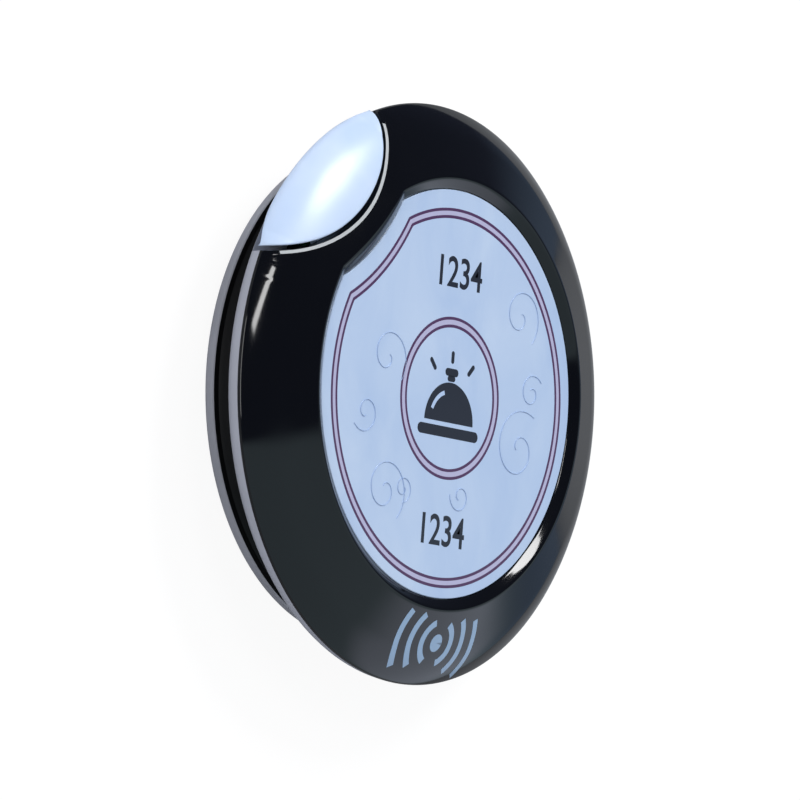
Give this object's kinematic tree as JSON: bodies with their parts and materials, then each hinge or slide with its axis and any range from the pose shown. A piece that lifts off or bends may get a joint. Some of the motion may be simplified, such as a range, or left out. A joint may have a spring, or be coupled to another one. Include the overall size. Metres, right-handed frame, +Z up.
{
  "type": "waiter call button",
  "caption": "Flat round wireless call button for a restaurant table: domed black top, pale printed face, white press key in the rim and a coin-cell door underneath.",
  "frame": {"origin": "middle of the underside, on the table the rubber feet stand on", "axes": "+Z up out of the printed face, +Y towards the top of the printed face, the white key lies in the rim at 135 degrees from +X towards +Y"},
  "size_m": [0.0595, 0.0594, 0.0131],
  "materials": {
    "black_gloss": "polished black moulding",
    "face_print": "printed sheet under a clear glossy skin",
    "glue_sheet": "double-sided adhesive film",
    "silver_trim": "silver-grey moulding",
    "base_black": "fine matt texture",
    "back_grey": "satin grey moulding",
    "foot_rubber": "matt rubber",
    "key_white": "glossy bluish-white moulding",
    "door_grey": "satin grey moulding",
    "cell_steel": "nickel-plated steel can",
    "holder_black": "plain black moulding",
    "contact_spring": "nickel-plated spring brass",
    "board_green": "green solder mask",
    "screw_steel": "zinc-plated steel",
    "switch_black": "plain black moulding",
    "switch_steel": "bright sheet steel",
    "snap_steel": "thin spring steel",
    "lead_tin": "tinned copper leads",
    "chip_black": "moulded epoxy package",
    "crystal_steel": "drawn steel can",
    "resistor_black": "glazed ceramic chips",
    "capacitor_tan": "fired ceramic chips",
    "coil_copper": "enamelled copper wire",
    "antenna_copper": "gilded copper track"
  },
  "bodies": {
    "housing": {"top_shell": "black_gloss", "face_label": "face_print", "face_adhesive": "glue_sheet", "trim_ring": "silver_trim", "base_shell": "base_black", "back_cover": "back_grey", "rubber_feet": "foot_rubber", "coin_cell": "cell_steel", "cell_holder": "holder_black", "contact_minus": "contact_spring", "contact_plus": "contact_spring", "pcb": "board_green", "case_screws": "screw_steel", "board_screws": "screw_steel", "switch_base": "switch_black", "switch_cover": "switch_steel", "switch_dome": "snap_steel", "switch_leads": "lead_tin", "encoder_chip": "chip_black", "encoder_pins": "lead_tin", "crystal_can": "crystal_steel", "rf_transistor": "chip_black", "resistors": "resistor_black", "capacitors": "capacitor_tan", "rf_coil": "coil_copper", "loop_antenna": "antenna_copper"},
    "key": {"key": "key_white"},
    "stem": {"switch_stem": "switch_black"},
    "door": {"battery_door": "door_grey"}
  },
  "joints": [
    {"name": "key_press", "type": "slide", "parent": "housing", "child": "key", "axis": [0, 0, -1], "range_m": [0, 0.00025], "stiffness_N_per_m": 1000, "springref_m": -0.0005},
    {"name": "stem_press", "type": "slide", "parent": "housing", "child": "stem", "axis": [0, 0, -1], "range_m": [0, 0.00025], "deforming": ["switch_dome"]},
    {"name": "door_turn", "type": "hinge", "parent": "housing", "child": "door", "pos_m": [0, 0, 0.001], "axis": [0, 0, 1], "range_deg": [0, 40]}
  ],
  "couplings": [
    {"joint": "stem_press", "follows": "key_press", "ratio": 1}
  ]
}
